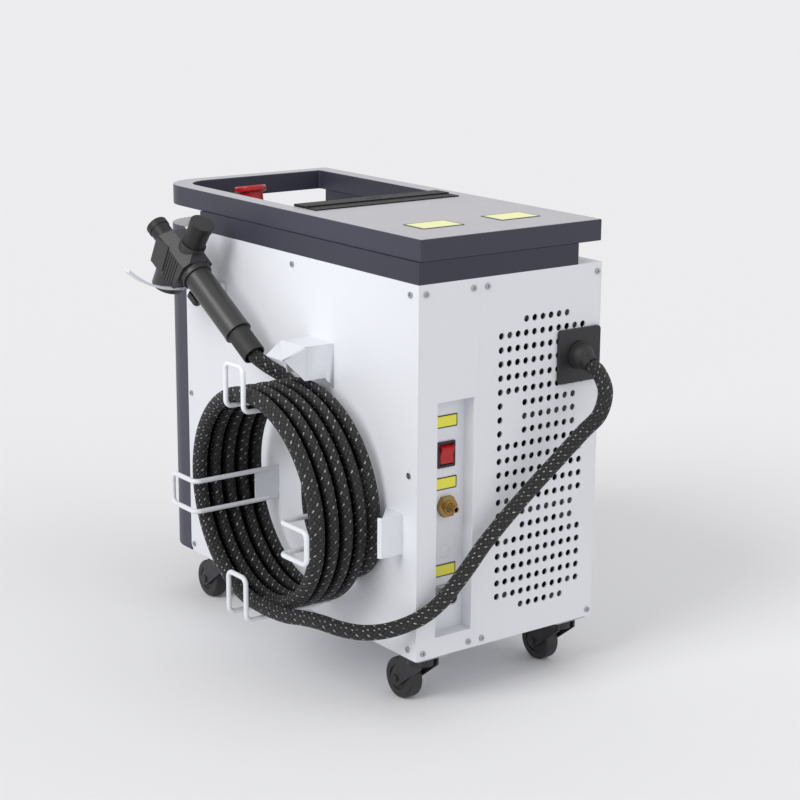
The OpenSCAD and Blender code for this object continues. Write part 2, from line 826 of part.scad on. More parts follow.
// Connector bay
rocker_box_w = rocker_w - 2 * rocker_frame;
rocker_box_h = rocker_h - 2 * rocker_frame + 2 * rocker_wall - rocker_trim;
rocker_hole_w = rocker_box_w - 2 * rocker_wall;
rocker_hole_h = rocker_box_h - 2 * rocker_wall;
module at_recess(drop) translate([recess_x, recess_y, top_z - drop]) children();
module rocker_bezel() black() at_recess(rocker_drop) difference() {
    union() {
        slab_y(rocker_flange_t, rocker_flange_t) round_rect(rocker_w, rocker_h, rocker_flange_t);
        slab_y(over, rocker_body + over) square([rocker_box_w, rocker_box_h], center = true);
    }
    slab_y(rocker_flange_t + over, rocker_body - rocker_wall + rocker_flange_t + over)
        square([rocker_hole_w, rocker_hole_h], center = true);
    translate([0, -rocker_pivot, 0]) rod_x(rocker_pin_d + 2 * slip, -rocker_w, rocker_w);
}
module power_rocker() red() at_recess(rocker_drop) translate([0, -rocker_pivot, 0])
    rotate([-rocker_swing / 2, 0, 0]) {
        half = rocker_hole_w / 2 - ease;
        r = rocker_hole_h / 2 - ease;
        end_z = sqrt(r * r - rocker_crown * rocker_crown);
        slab_x(-half, 2 * half) intersection() {
            circle(r);
            polygon([[-rocker_root, -r], [rocker_crown, -end_z], [rocker_notch, 0],
                [rocker_crown, end_z], [-rocker_root, r]]);
        }
        rod_x(rocker_pin_d, -rocker_box_w / 2, rocker_box_w / 2);
    }
module recess_labels() yellow() for (drop = label_drops) at_recess(drop)
    slab_y(label_t, label_t) round_rect(label_w, label_h, 1.5 * label_t);
module hexagon(w) circle(d = w / cos(30), $fn = 6);
module gas_inlet() color([0.62, 0.48, 0.2]) at_recess(gas_drop) difference() {
    union() {
        slab_y(gas_hex_t, gas_hex_t) hexagon(gas_hex);
        rod_y(gas_neck_d, gas_hex_t, gas_hex_t + gas_neck_t);
        translate([0, gas_hex_t + gas_neck_t, 0]) rotate([-90, 0, 0])
            cylinder(d1 = gas_shank_d, d2 = gas_tip_d, h = gas_cone_t);
        rod_y(gas_tip_d, gas_hex_t + gas_neck_t + gas_cone_t, gas_len);
        rod_y(gas_shank_d, -gas_shank, 0);
        slab_y(-recess_wall, gas_nut_t) hexagon(gas_hex - gas_nut_t);
    }
    rod_y(gas_bore, -gas_shank - over, gas_len + over);
}
module power_socket() steel() at_recess(socket_drop) {
    difference() {
        union() {
            slab_y(socket_flange_t, socket_flange_t) round_rect(socket_flange, socket_flange, socket_flange_t);
            rod_y(socket_d, 0, socket_len);
        }
        rod_y(socket_d - 2 * socket_wall, socket_floor, socket_len + over);
    }
    for (a = [0:120:240]) rotate([0, a, 0]) translate([contact_r, 0, 0])
        rod_y(contact_d, socket_floor - over, socket_len - socket_wall);
}
module connector_plate() black() translate([-side_x + plate_far, 0, top_z - plate_drop])
    slab_y(rear_y + plate_t, plate_t) round_rect(plate_side, plate_side, plate_r);
module at_gland() translate([-side_x + plate_far, rear_y + plate_t, top_z - plate_drop]) children();
module cable_gland() black() at_gland() {
    rod_y(gland_d, 0, gland_ring);
    intersection() {
        translate([0, gland_ring, 0]) sphere(d = gland_ball_d);
        rod_y(gland_d, 0, gland_d);
    }
    translate([0, gland_ring, 0]) rotate([-gland_dip, 0, 0]) rod_y(gland_stub_d, gland_ball_d / 4, gland_stub);
}

// Hose
gland_end = [-side_x + plate_far, rear_y + plate_t + gland_ring + gland_stub * cos(gland_dip),
    top_z - plate_drop - gland_stub * sin(gland_dip)];
gland_way = [0, cos(gland_dip), -sin(gland_dip)];
gun_way = [-sin(gun_yaw) * cos(gun_pitch), cos(gun_yaw) * cos(gun_pitch), -sin(gun_pitch)];
function gun_axis(y) = [gun_x, gun_y, gun_z] + y * gun_way;
function coil_point(a) = [coil_x + coil_pitch * a / 360 + coil_lean * sin(a),
    coil_y + coil_ry * cos(a), coil_h + coil_rz * sin(a)];
function coil_way(a) = unit([coil_pitch / (2 * PI) + coil_lean * cos(a), -coil_ry * sin(a), coil_rz * cos(a)]);
coil_last = 360 * coil_turns;
coil_start = coil_point(0) - hose_d * coil_way(0);
coil_end = coil_point(coil_last) + hose_d * coil_way(coil_last);
coil_path = concat([coil_start], [for (i = [0:coil_rings * coil_turns]) coil_point(360 * i / coil_rings)],
    [coil_end]);
tail_start = gun_axis(handle_len + sleeve_len - sleeve_bore_depth);
tail_path = concat([tail_start, gun_axis(handle_len + sleeve_len + hose_d / 9)], tail_points,
    [coil_start - hose_d * 2 / 3 * coil_way(0), coil_start - hose_d / 3 * coil_way(0), coil_start]);
run_path = concat([coil_end, coil_end + hose_d / 3 * coil_way(coil_last)], run_points,
    [gland_end + hose_d * 2 / 3 * gland_way, gland_end + hose_d / 3 * gland_way, gland_end]);
half_turn = coil_rings / 2;
coil_least = min([for (i = [0:len(coil_path) - 1 - half_turn], j = [i + half_turn:len(coil_path) - 1])
    norm(coil_path[i] - coil_path[j])]) - hose_d;
echo(least_gap_between_turns = coil_least);
module hose_tail() black() tube(tail_path, hose_r, hose_sides, [1, 0, 0]);
module hose_coil() black() tube(coil_path, hose_r, coil_sides, [1, 0, 0]);
module hose_run() black() tube(run_path, hose_r, hose_sides, [1, 1, 0]);

// Hooks: local +X leaves the panel, +Y is the way the tip points
module hook_loop() {
    s = rod_spacing / 2;
    reach = hook_reach;
    for (m = [0, 1]) mirror([0, 0, m]) {
        translate([0, 0, s]) rod_x(rod_d, rod_start, reach - rod_bend);
        translate([reach - rod_bend, rod_bend, s]) rotate(-90)
            rotate_extrude(angle = 90) translate([rod_bend, 0]) circle(d = rod_d);
        translate([reach, 0, s]) rod_y(rod_d, rod_bend, hook_tip - rod_bend);
        translate([reach, hook_tip - rod_bend, s - rod_bend]) rotate([0, -90, 0])
            rotate_extrude(angle = 90) translate([rod_bend, 0]) circle(d = rod_d);
        translate([reach, hook_tip, 0]) cylinder(d = rod_d, h = s - rod_bend);
    }
    w = rod_spacing + rod_d - tab_edge;
    translate([0, -tab_t / 2, -w / 2]) cube([tab_len, tab_t, w]);
}
module hose_hook_top() white() translate([side_x, hook_y, hook_top_z]) rotate([90, 0, 0]) hook_loop();
module hose_hook_bottom() white() translate([side_x, hook_y, hook_bottom_z]) rotate([90, 0, 0]) hook_loop();
module hose_hook_rear() white() translate([side_x, hook_rear_y, hook_rear_z]) hook_loop();
module hose_hook_front() white() translate([side_x, hook_front_y, hook_front_z]) rotate([180, 0, 0])
    hook_loop();
// Upper guard: a bent sheet with two cheeks; local +Y faces away from the coil
module top_guard() {
    r = guard_reach;
    w = guard_w / 2;
    out = [cos(guard_lip_slope), -sin(guard_lip_slope)];
    inner = guard_t / 2 * [-sin(guard_lip_slope), -cos(guard_lip_slope)];
    translate([0, 0, w - guard_t]) linear_extrude(guard_t)
        polygon([[0, 0], [r, 0], [r, -guard_t * 2], [r * guard_cheek_share, -guard_top_low],
            [0, -guard_top_low]]);
    translate([0, 0, -w]) linear_extrude(guard_t)
        polygon([[0, 0], [r, 0], [r, 0] + inner, [r, 0] + inner + (guard_lip - guard_t) * out,
            [r, -guard_top_low], [guard_foot, -guard_top_low], [0, -guard_top_low - guard_foot_low]]);
    translate([0, -guard_t, -w]) cube([r, guard_t, guard_w]);
    translate([r, 0, 0]) rotate([0, 0, -guard_lip_slope]) rotate([90, 0, 0]) linear_extrude(guard_t)
        polygon([[-guard_t / 2, -w], [guard_lip - guard_t / 2, -w],
            [guard_lip - guard_t / 2, w - guard_taper], [-guard_t / 2, w]]);
}
// Rear guard: a sheet with a short lip bent over the coil and a gusset on top
module rear_guard() {
    r = rear_guard_reach;
    h = rear_guard_h;
    lip = rear_guard_lip * [cos(rear_guard_slope), -sin(rear_guard_slope)];
    inward = guard_t * [-sin(rear_guard_slope), -cos(rear_guard_slope)];
    translate([0, 0, -h / 2]) linear_extrude(h) polygon([[0, 0], [r, 0], [r, 0] + lip, [r, 0] + lip + inward,
        [r - guard_t * tan(rear_guard_slope / 2), -guard_t], [0, -guard_t]]);
    translate([0, 0, h / 2 - guard_t]) linear_extrude(guard_t)
        polygon([[0, -guard_t / 2], [r - guard_t, -guard_t / 2], [0, -rear_guard_gusset]]);
}
module coil_guards() white() {
    translate([side_x, guard_top_y, guard_top_z]) rotate([90, 0, 0]) top_guard();
    translate([side_x, guard_rear_y, guard_rear_z]) rear_guard();
}

// Gun
module at_gun() {
    translate([gun_x, gun_y, gun_z]) rotate([0, 0, gun_yaw]) rotate([-gun_pitch, 0, 0]) children();
}
module gun_handle() black() at_gun() difference() {
    union() {
        rod_y(handle_d, 0, handle_len);
        rod_y(handle_d + grip_ring_t, handle_len - grip_ring_w, handle_len);
    }
    translate([0, trigger_y, trigger_low])
        cylinder(d = trigger_stem_d + 2 * slip, h = trigger_hole_top - trigger_low);
}
module gun_sleeve() black() at_gun() difference() {
    rod_y(sleeve_d, handle_len, handle_len + sleeve_len);
    rod_y(sleeve_bore, handle_len + sleeve_len - sleeve_bore_depth, handle_len + sleeve_len + over);
}
module gun_collar() black() at_gun() difference() {
    rod_y(collar_d, collar_y, collar_y + collar_len);
    rod_y(handle_d, 0, collar_len);
}
module head_profile() {
    y0 = collar_y - head_len;
    polygon([[y0 + head_chin, -head_half_h], [y0, -head_half_h + head_knee],
        [y0 + over, head_top - head_chamfer], [y0 + head_brow, head_top],
        [collar_y - nape_run, head_top], [collar_y, head_top - nape_drop],
        [collar_y, -head_half_h + crook_rise], [collar_y - crook_run, -head_half_h]]);
}
module head_section() {
    w = head_w / 2;
    polygon([[-w, -head_half_h], [-w, head_top - head_chamfer], [-w + head_chamfer, head_top],
        [w - head_chamfer, head_top], [w, head_top - head_chamfer], [w, -head_half_h]]);
}
module gun_head() black() at_gun() difference() {
    y0 = collar_y - head_len;
    union() {
        intersection() {
            slab_x(-head_w / 2, head_w) head_profile();
            slab_y(collar_y, head_len) head_section();
        }
        translate([0, 0, motor_z]) rod_y(boss_d, y0 - boss_t, y0 + head_chin);
        translate([0, top_motor_y, 0]) rotate([top_motor_tilt, 0, 0]) translate([0, 0, top_boss_low])
            cylinder(d = boss_d, h = head_top + boss_t - top_boss_low);
        for (s = [0, 1]) mirror([s, 0, 0]) translate([head_w / 2 - over, cover_y, -head_half_h + over])
            rotate([cover_tilt, 0, 0]) cube([cover_t + over, cover_w, cover_rise]);
    }
    for (s = [0, 1]) mirror([s, 0, 0]) {
        for (i = [0:rib_count - 1]) translate([head_w / 2 - rib_t, rib_y + i * rib_pitch, -head_half_h - over])
            rotate([rib_tilt, 0, 0]) cube([rib_t + over, rib_w, rib_h]);
    }
}
module motor(d, len) {
    rod_y(d - motor_cap_d, -len, 0);
    rod_y(d, -len, motor_cap_t - len);
}
module scan_motor_front() black() at_gun()
    translate([0, collar_y - head_len - boss_t, motor_z]) motor(motor_d, motor_len);
module scan_motor_top() black() at_gun() translate([0, top_motor_y, 0]) rotate([top_motor_tilt, 0, 0])
    translate([0, 0, head_top + boss_t]) rotate([-90, 0, 0]) motor(top_motor_d, top_motor_len);
module at_nozzle() at_gun() translate([0, nozzle_y, -head_half_h]) rotate([nozzle_tilt, 0, 0]) children();
module gun_nozzle() black() difference() {
    at_nozzle() translate([0, 0, -nozzle_len]) difference() {
        cylinder(d1 = nozzle_d, d2 = nozzle_top_d, h = nozzle_len + nozzle_step);
        translate([0, 0, -over]) cylinder(d = nozzle_bore, h = nozzle_len - nozzle_step + over);
    }
    at_gun() translate([-head_w / 2, collar_y - head_len, -head_half_h]) cube([head_w, head_len, head_half_h]);
}
module nozzle_lens() color([0.5, 0.6, 0.75, 0.5]) at_nozzle() translate([0, 0, -nozzle_step - lens_t])
    cylinder(d = nozzle_bore - 2 * slip, h = lens_t);
module gun_trigger() black() at_gun() translate([0, trigger_y, 0]) {
    translate([0, 0, trigger_low]) linear_extrude(trigger_high - trigger_low)
        round_rect(trigger_w, trigger_len, trigger_w / 2 - over);
    translate([0, 0, trigger_high - over])
        cylinder(d = trigger_stem_d, h = trigger_stem_top - trigger_high + over);
}
module holder_curve(t) {
    r = (holder_run * holder_run + holder_rise * holder_rise) / (2 * holder_rise);
    intersection() {
        translate([holder_flat, r]) difference() {
            circle(r + t, $fn = 96);
            circle(r, $fn = 96);
        }
        area(holder_flat, holder_flat + holder_run, -t, holder_rise);
    }
    area(0, holder_flat + over, -t, 0);
}
module gun_holder() white() {
    translate([side_x, holder_y + holder_w, holder_top]) slab_y(0, holder_w) holder_curve(holder_t);
    translate([side_x, holder_base_y, holder_top - holder_base_h])
        cube([holder_base_t, holder_base_w, holder_base_h]);
}

// Casters: local origin on the floor under the swivel, wheel trailing to -Y
module at_caster(side, rear) {
    translate([side * caster_x, rear ? caster_rear : caster_front, 0]) children();
}
module caster_plates() steel() for (s = [-1, 1], r = [true, false]) at_caster(s, r) {
    translate([0, 0, caster_h - caster_plate_t]) linear_extrude(caster_plate_t)
        round_rect(caster_plate, caster_plate, caster_corner);
    translate([0, 0, caster_h - caster_plate_t - kingpin_len]) cylinder(d = kingpin_d, h = kingpin_len + over);
}
module fork_cheek() {
    low = [-caster_trail, wheel_r] + fork_boss_r * [sin(cheek_low_slope), -cos(cheek_low_slope)];
    back = [-caster_trail, wheel_r] + fork_boss_r * [-sin(cheek_back_slope), cos(cheek_back_slope)];
    polygon([[crown_d / 2, crown_low], [crown_d / 2, fork_top], [-crown_d / 2, fork_top], back, low]);
    translate([-caster_trail, wheel_r]) circle(fork_boss_r);
}
module caster_fork() black() difference() {
    union() {
        translate([0, 0, crown_low]) cylinder(d = crown_d, h = fork_top - crown_low);
        for (s = [0, 1]) mirror([s, 0, 0]) slab_x(fork_in, cheek_t) fork_cheek();
        translate([0, -caster_trail, wheel_r]) {
            rod_x(axle_d, -fork_in - over, fork_in + over);
            for (s = [0, 1]) mirror([s, 0, 0])
                rod_x(axle_head_d, fork_in + cheek_t - over, fork_in + cheek_t + axle_head_t);
        }
    }
    translate([0, 0, fork_top - kingpin_len - over])
        cylinder(d = kingpin_d + 2 * slip, h = kingpin_len + 2 * over);
}
module caster_wheel() black() translate([0, -caster_trail, wheel_r]) rotate([0, 90, 0]) rotate_extrude()
    difference() {
        union() {
            translate([0, -wheel_w / 2]) square([wheel_r - tyre_r, wheel_w]);
            translate([0, -wheel_w / 2 + tyre_r]) square([wheel_r, wheel_w - 2 * tyre_r]);
            for (s = [-1, 1]) translate([wheel_r - tyre_r, s * (wheel_w / 2 - tyre_r)]) circle(tyre_r);
        }
        translate([0, -wheel_w]) square([axle_d / 2 + slip, 2 * wheel_w]);
        for (s = [-1, 1]) translate([axle_head_d / 2, s * wheel_w / 2 - hub_dish])
            square([hub_d / 2 - axle_head_d / 2, 2 * hub_dish]);
    }

// Inside
module laser_source() color([0.6, 0.6, 0.63]) {
    z0 = caster_h + sheet_t;
    difference() {
        box(source_x - source_w / 2, source_x + source_w / 2, source_y - source_d / 2, source_y + source_d / 2,
            z0, z0 + source_h);
        for (i = [1:fin_count - 1]) translate([source_x - source_w / 2 + i * source_w / fin_count,
            source_y, z0 + source_h]) cube([fin_w, source_d + over, 2 * fin_h], center = true);
    }
    translate([source_x, source_y, z0 + source_h / 2])
        rod_y(fibre_port_d, source_d / 2 - over, source_d / 2 + fibre_port);
}
module power_supply() steel() difference() {
    z0 = caster_h + sheet_t;
    box(supply_x - supply_w / 2, supply_x + supply_w / 2, supply_y - supply_d / 2, supply_y + supply_d / 2,
        z0, z0 + supply_h);
    for (i = [1:vent_count]) translate([supply_x, supply_y - supply_d / 2 + i * supply_d / (vent_count + 1),
        z0 + supply_h]) cube([supply_w / 2, vent_w, vent_w], center = true);
}
module control_board() color([0.1, 0.35, 0.2]) translate([source_x, source_y, caster_h + sheet_t + source_h]) {
    for (a = [-1, 1], b = [-1, 1])
        translate([a * source_w / fin_count * 3.5, b * (board_d / 2 - board_edge), 0])
            cylinder(d = board_post_d, h = board_post);
    translate([-board_w / 2, -board_d / 2, board_post - over / 2]) cube([board_w, board_d, board_t]);
    for (b = [-1, 0, 1]) translate([0, b * board_d / 4, board_post + board_t])
        cube([chip_w, chip_w, chip_t], center = true);
}
module at_fan(i) translate([fan_x, in_rear - fan_depth, fan_mid_z + i * fan_pitch]) children();
module fan_frame() {
    difference() {
        slab_y(fan_depth, fan_depth) difference() {
            round_rect(fan_size, fan_size, fan_r);
            circle(d = fan_bore);
            for (a = [-1, 1], b = [-1, 1])
                translate([a, b] * (fan_size / 2 - fan_screw_in)) circle(d = fan_screw_d);
        }
    }
    slab_y(fan_base_t, fan_base_t) {
        circle(d = fan_hub_d);
        for (a = [45, 135]) rotate(a) square([fan_bore + over, fan_strut_w], center = true);
    }
    rod_y(fan_shaft_d, 0, fan_base_t + shaft_len);
}
module fan_frames() black() for (i = [-1, 0, 1]) at_fan(i) fan_frame();
module fan_rotor() black() difference() {
    y0 = fan_depth - fan_end - fan_hub_len;
    union() {
        rod_y(fan_hub_d, y0, fan_depth - fan_end);
        intersection() {
            for (k = [0:fan_blades - 1]) rotate([0, k * 360 / fan_blades, 0])
                translate([fan_bore / 4, y0 + fan_hub_len / 2, 0]) rotate([blade_pitch, 0, 0])
                    cube([fan_bore / 2, blade_w, blade_t], center = true);
            rod_y(fan_bore - 2 * fan_tip_gap, y0, fan_depth - fan_end);
        }
    }
    rod_y(fan_shaft_d + 2 * slip, y0 - over, fan_base_t + shaft_len + over);
}

base_plate();
top_plate();
hose_side_panel();
far_side_panel();
front_fascia();
connector_panel();
grille_panel();
recess_tray();
inner_frame();
panel_screws();
neck();
handle_slab();
console();
touch_screen();
trim_strip();
top_plates();
stop_collar();
stop_button();
recess_labels();
rocker_bezel();
power_rocker();
gas_inlet();
power_socket();
connector_plate();
cable_gland();
hose_tail();
hose_coil();
hose_run();
hose_hook_top();
hose_hook_rear();
hose_hook_front();
hose_hook_bottom();
coil_guards();
gun_holder();
gun_handle();
gun_sleeve();
gun_collar();
gun_head();
scan_motor_front();
scan_motor_top();
gun_nozzle();
nozzle_lens();
gun_trigger();
caster_plates();
at_caster(1, true) caster_fork();  // caster_fork_rear_hose
at_caster(-1, true) caster_fork();  // caster_fork_rear_far
at_caster(1, false) caster_fork();  // caster_fork_front_hose
at_caster(-1, false) caster_fork();  // caster_fork_front_far
at_caster(1, true) caster_wheel();  // wheel_rear_hose
at_caster(-1, true) caster_wheel();  // wheel_rear_far
at_caster(1, false) caster_wheel();  // wheel_front_hose
at_caster(-1, false) caster_wheel();  // wheel_front_far
laser_source();
power_supply();
control_board();
fan_frames();
at_fan(1) fan_rotor();  // fan_rotor_top
at_fan(0) fan_rotor();  // fan_rotor_middle
at_fan(-1) fan_rotor();  // fan_rotor_bottom
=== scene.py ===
import functools
import json
import math
import bpy
import bmesh
from mathutils import Matrix, Vector

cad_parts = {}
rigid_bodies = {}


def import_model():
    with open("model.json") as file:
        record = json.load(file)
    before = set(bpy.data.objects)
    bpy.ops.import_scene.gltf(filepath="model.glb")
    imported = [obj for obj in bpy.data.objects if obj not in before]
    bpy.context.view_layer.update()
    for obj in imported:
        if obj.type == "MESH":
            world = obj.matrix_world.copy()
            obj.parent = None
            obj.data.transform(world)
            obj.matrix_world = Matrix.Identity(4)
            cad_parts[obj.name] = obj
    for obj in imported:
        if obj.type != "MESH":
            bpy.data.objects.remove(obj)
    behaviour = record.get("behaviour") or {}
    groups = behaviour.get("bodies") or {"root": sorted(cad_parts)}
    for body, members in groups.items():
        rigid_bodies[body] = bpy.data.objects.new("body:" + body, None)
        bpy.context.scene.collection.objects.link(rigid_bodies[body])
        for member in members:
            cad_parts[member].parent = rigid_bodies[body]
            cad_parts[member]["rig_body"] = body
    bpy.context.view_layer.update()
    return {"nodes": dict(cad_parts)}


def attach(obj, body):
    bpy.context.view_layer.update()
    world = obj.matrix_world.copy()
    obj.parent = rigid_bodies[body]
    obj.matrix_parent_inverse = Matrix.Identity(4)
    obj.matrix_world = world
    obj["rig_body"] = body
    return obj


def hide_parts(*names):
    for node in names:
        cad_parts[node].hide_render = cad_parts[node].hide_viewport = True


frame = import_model()
nodes = frame["nodes"]
scene = bpy.context.scene
MM = 0.001

# Camera, fitted to the photograph: its place in metres, its right and the way that it looks
CAMERA_AT = Vector((1.39622, 1.90178, 0.90229))
CAMERA_RIGHT = Vector((-0.80158, 0.59785, 0.00662))
CAMERA_LOOK = Vector((-0.58107, -0.77637, -0.24414))
CAMERA_LENS = 86.895
CAMERA_SENSOR = 36
CAMERA_NEAR = 0.05
CAMERA_FAR = 200


def make_camera():
    data = bpy.data.cameras.new("camera")
    data.sensor_width = CAMERA_SENSOR
    data.lens = CAMERA_LENS
    data.clip_start = CAMERA_NEAR
    data.clip_end = CAMERA_FAR
    camera = bpy.data.objects.new("camera", data)
    scene.collection.objects.link(camera)
    right = CAMERA_RIGHT.normalized()
    look = CAMERA_LOOK.normalized()
    up = right.cross(look).normalized()
    turn = Matrix((right, up, -look)).transposed().to_4x4()
    camera.matrix_world = Matrix.Translation(CAMERA_AT) @ turn
    scene.camera = camera


make_camera()


class Net:
    """The nodes of one material, with short ways to add to them."""

    def __init__(self, name):
        self.material = bpy.data.materials.new(name)
        self.material.use_nodes = True
        self.tree = self.material.node_tree
        self.tree.nodes.clear()
        self.surface = self.node("BsdfPrincipled")
        self.node("OutputMaterial", {0: self.surface.outputs[0]})

    def node(self, kind, inputs=None, **settings):
        """A new node, with its inputs by name or number and its settings by keyword."""
        made = self.tree.nodes.new("ShaderNode" + kind)
        for key, value in settings.items():
            setattr(made, key, value)
        self.fill(made, inputs or {})
        return made

    def fill(self, node, inputs):
        for socket, value in inputs.items():
            if isinstance(value, bpy.types.NodeSocket):
                self.tree.links.new(value, node.inputs[socket])
            else:
                node.inputs[socket].default_value = value

    def math(self, operation, *values):
        return self.node("Math", dict(enumerate(values)), operation=operation).outputs[0]

    def plus(self, a, b):
        return self.math("ADD", a, b)

    def minus(self, a, b):
        return self.math("SUBTRACT", a, b)

    def times(self, *factors):
        return functools.reduce(lambda a, b: self.math("MULTIPLY", a, b), factors)

    def least(self, *values):
        return functools.reduce(lambda a, b: self.math("MINIMUM", a, b), values)

    def split(self, vector):
        """The three parts of a vector."""
        return self.node("SeparateXYZ", {0: vector}).outputs

    def mix(self, share, start, end):
        return self.node("Mix", {0: share, 6: start, 7: end}, data_type="RGBA").outputs[2]

    def ramp(self, value, *stops):
        """Greys between two stops, each a place and a grey."""
        made = self.node("ValToRGB", {0: value})
        for element, (place, grey) in zip(made.color_ramp.elements, stops):
            element.position = place
            element.color = (grey, grey, grey, 1)
        return made.outputs[0]

    def own_place(self):
        return self.node("TexCoord").outputs["Object"]

    def noise(self, scale, detail=3, rough=0.55, stretch=None):
        place = self.own_place()
        if stretch:
            place = self.node("Mapping", {"Vector": place, "Scale": stretch}).outputs[0]
        return self.node("TexNoise", {"Vector": place, "Scale": scale, "Detail": detail,
                                      "Roughness": rough}).outputs["Fac"]


# What all the solid finishes share, with the rounding in millimetres and ramps as places and greys
ROUNDING = 0.5
ROUNDING_SAMPLES = 4
DRIFT_SCALE = 6
GLOSS_SCALE = 35
WEAR_SCALE = 90
WEAR_RAMP = (0.35, 0.2), (0.65, 1.0)
WEAR_LIGHTER = 1.6
# Painted sheen: how far a face must look up to take the lighter top grey
TOP_SHEEN_RAMP = (0.85, 0.0), (0.97, 1.0)
LEAST_ROUGH = 0.03
COAT_ROUGH = 0.12
PRINT_BLACK = (0.02, 0.02, 0.02)


def shade(colour, factor=1.0):
    """A colour as a node takes it, darker or lighter by a factor."""
    return (*(min(part * factor, 1) for part in colour), 1)


def drift(net, slow, colour, vary):
    """A colour that goes slowly darker and lighter by a share."""
    return net.mix(slow, shade(colour, 1 - vary), shade(colour, 1 + vary))


def worn(net, colour, rounded, strength, edge_colour):
    """A colour that turns lighter in patches where the rounded normal leaves the true one."""
    true_normal = net.node("NewGeometry").outputs["Normal"]
    both = net.node("VectorMath", {0: true_normal, 1: rounded}, operation="DOT_PRODUCT")
    turned = net.minus(1.0, both.outputs["Value"])
    patches = net.ramp(net.noise(WEAR_SCALE, detail=4, rough=0.7), *WEAR_RAMP)
    wear = net.least(net.times(turned, strength, patches), 1.0)
    return net.mix(wear, colour, shade(edge_colour, WEAR_LIGHTER))


def finish(name, colour, rough, grain, depth, vary, metal=0.0, edge=0.0, edge_colour=None, coat=0.0,
           spec=0.5, stretch=None, spread=0.12, top_sheen_colour=None, printed=None):
    """A solid finish: fine grain, slow colour drift, uneven gloss and lighter worn edges.

    depth is the grain's height in millimetres. top_sheen_colour paints what faces up lighter: a painted
    sheen for the light and reflection on the tops. printed is a function that makes the mask of a
    printed border."""
    net = Net(name)
    slow = net.noise(DRIFT_SCALE, detail=3, rough=0.5)
    tint = drift(net, slow, colour, vary)
    # Painted sheen: faces that look up are painted a lighter grey, for the light and reflection on tops
    if top_sheen_colour:
        facing = net.split(net.node("NewGeometry").outputs["True Normal"])
        up = net.ramp(facing[2], *TOP_SHEEN_RAMP)
        tint = net.mix(up, tint, drift(net, slow, top_sheen_colour, vary))
    if printed:
        tint = net.mix(printed(net), tint, shade(PRINT_BLACK))
    rounded = net.node("Bevel", {"Radius": ROUNDING * MM}, samples=ROUNDING_SAMPLES).outputs[0]
    if edge:
        tint = worn(net, tint, rounded, edge, edge_colour)
    gloss = net.node("MapRange", {"Value": net.noise(GLOSS_SCALE, detail=4, rough=0.65),
                                  "To Min": max(rough - spread / 2, LEAST_ROUGH),
                                  "To Max": min(rough + spread / 2, 1)})
    bump = net.node("Bump", {"Height": net.noise(grain, detail=4, rough=0.6, stretch=stretch),
                             "Strength": 1.0, "Distance": depth * MM, "Normal": rounded})
    net.fill(net.surface, {"Base Color": tint, "Metallic": metal, "Roughness": gloss.outputs[0],
                           "Specular IOR Level": spec, "Normal": bump.outputs[0]})
    if coat:
        net.fill(net.surface, {"Coat Weight": coat, "Coat Roughness": COAT_ROUGH})
    return net.material


# Corners of a mesh nearer than this are one point, in metres
SAME_POINT = 2e-6


def solid_boxes(name):
    """The lowest and highest corner of each separate solid of a node, in metres."""
    bm = bmesh.new()
    bm.from_mesh(nodes[name].data)
    bmesh.ops.remove_doubles(bm, verts=bm.verts, dist=SAME_POINT)
    seen, boxes = set(), []
    for first in bm.verts:
        if first in seen:
            continue
        seen.add(first)
        solid = [first]
        for vert in solid:
            near = [edge.other_vert(vert) for edge in vert.link_edges]
            solid += [other for other in near if other not in seen]
            seen.update(near)
        boxes.append([[pick(v.co[axis] for v in solid) for axis in range(3)] for pick in (min, max)])
    bm.free()
    return boxes


def border(name, line, axis):
    """Makes the mask of a border printed round each plate of a node, its line in millimetres.

    The plates are alike and lie along X and the given axis."""
    boxes = solid_boxes(name)
    low, high = boxes[0]

    def mask(net):
        place = net.split(net.own_place())
        past = []
        for side in (0, axis):
            middles = sorted({round((start[side] + end[side]) / 2, 5) for start, end in boxes})
            away = net.least(*(net.math("ABSOLUTE", net.minus(place[side], m)) for m in middles))
            past.append(net.minus(away, (high[side] - low[side]) / 2 - line * MM))
        return net.math("GREATER_THAN", net.math("MAXIMUM", *past), 0.0)
    return mask


# Painted sheen: the light grey painted on the tops of the dark slab, console and fascia
TOP_SHEEN_GREY = (0.44, 0.435, 0.47)
white = finish("white_powder", (0.74, 0.755, 0.80), 0.42, grain=700, depth=0.05, vary=0.012,
               edge=1.5, edge_colour=(0.6, 0.6, 0.62), coat=0.15)
dark = finish("dark_powder", (0.036, 0.036, 0.056), 0.45, grain=800, depth=0.05, vary=0.06,
              edge=2, edge_colour=(0.08, 0.08, 0.12), spec=0.3)
slab_grey = finish("slab_plastic", (0.045, 0.045, 0.068), 0.42, grain=1100, depth=0.03, vary=0.05,
                   edge=2, edge_colour=(0.17, 0.17, 0.21), spec=0.3, top_sheen_colour=TOP_SHEEN_GREY)
fascia = finish("fascia_plastic", (0.055, 0.054, 0.078), 0.42, grain=1100, depth=0.03, vary=0.05,
                edge=2, edge_colour=(0.12, 0.12, 0.16), spec=0.3, top_sheen_colour=TOP_SHEEN_GREY)
black = finish("black_plastic", (0.012, 0.012, 0.014), 0.38, grain=1300, depth=0.03, vary=0.1,
               edge=2, edge_colour=(0.05, 0.05, 0.05))
trim = finish("trim_plastic", (0.006, 0.006, 0.007), 0.55, grain=1300, depth=0.03, vary=0.1, spec=0.2)
rubber = finish("black_rubber", (0.014, 0.014, 0.015), 0.6, grain=1500, depth=0.05, vary=0.15,
                edge=1.5, edge_colour=(0.05, 0.05, 0.05))
red = finish("red_plastic", (0.46, 0.006, 0.007), 0.30, grain=1200, depth=0.02, vary=0.06,
             edge=1.5, edge_colour=(0.6, 0.05, 0.04), coat=0.2, spec=0.35)
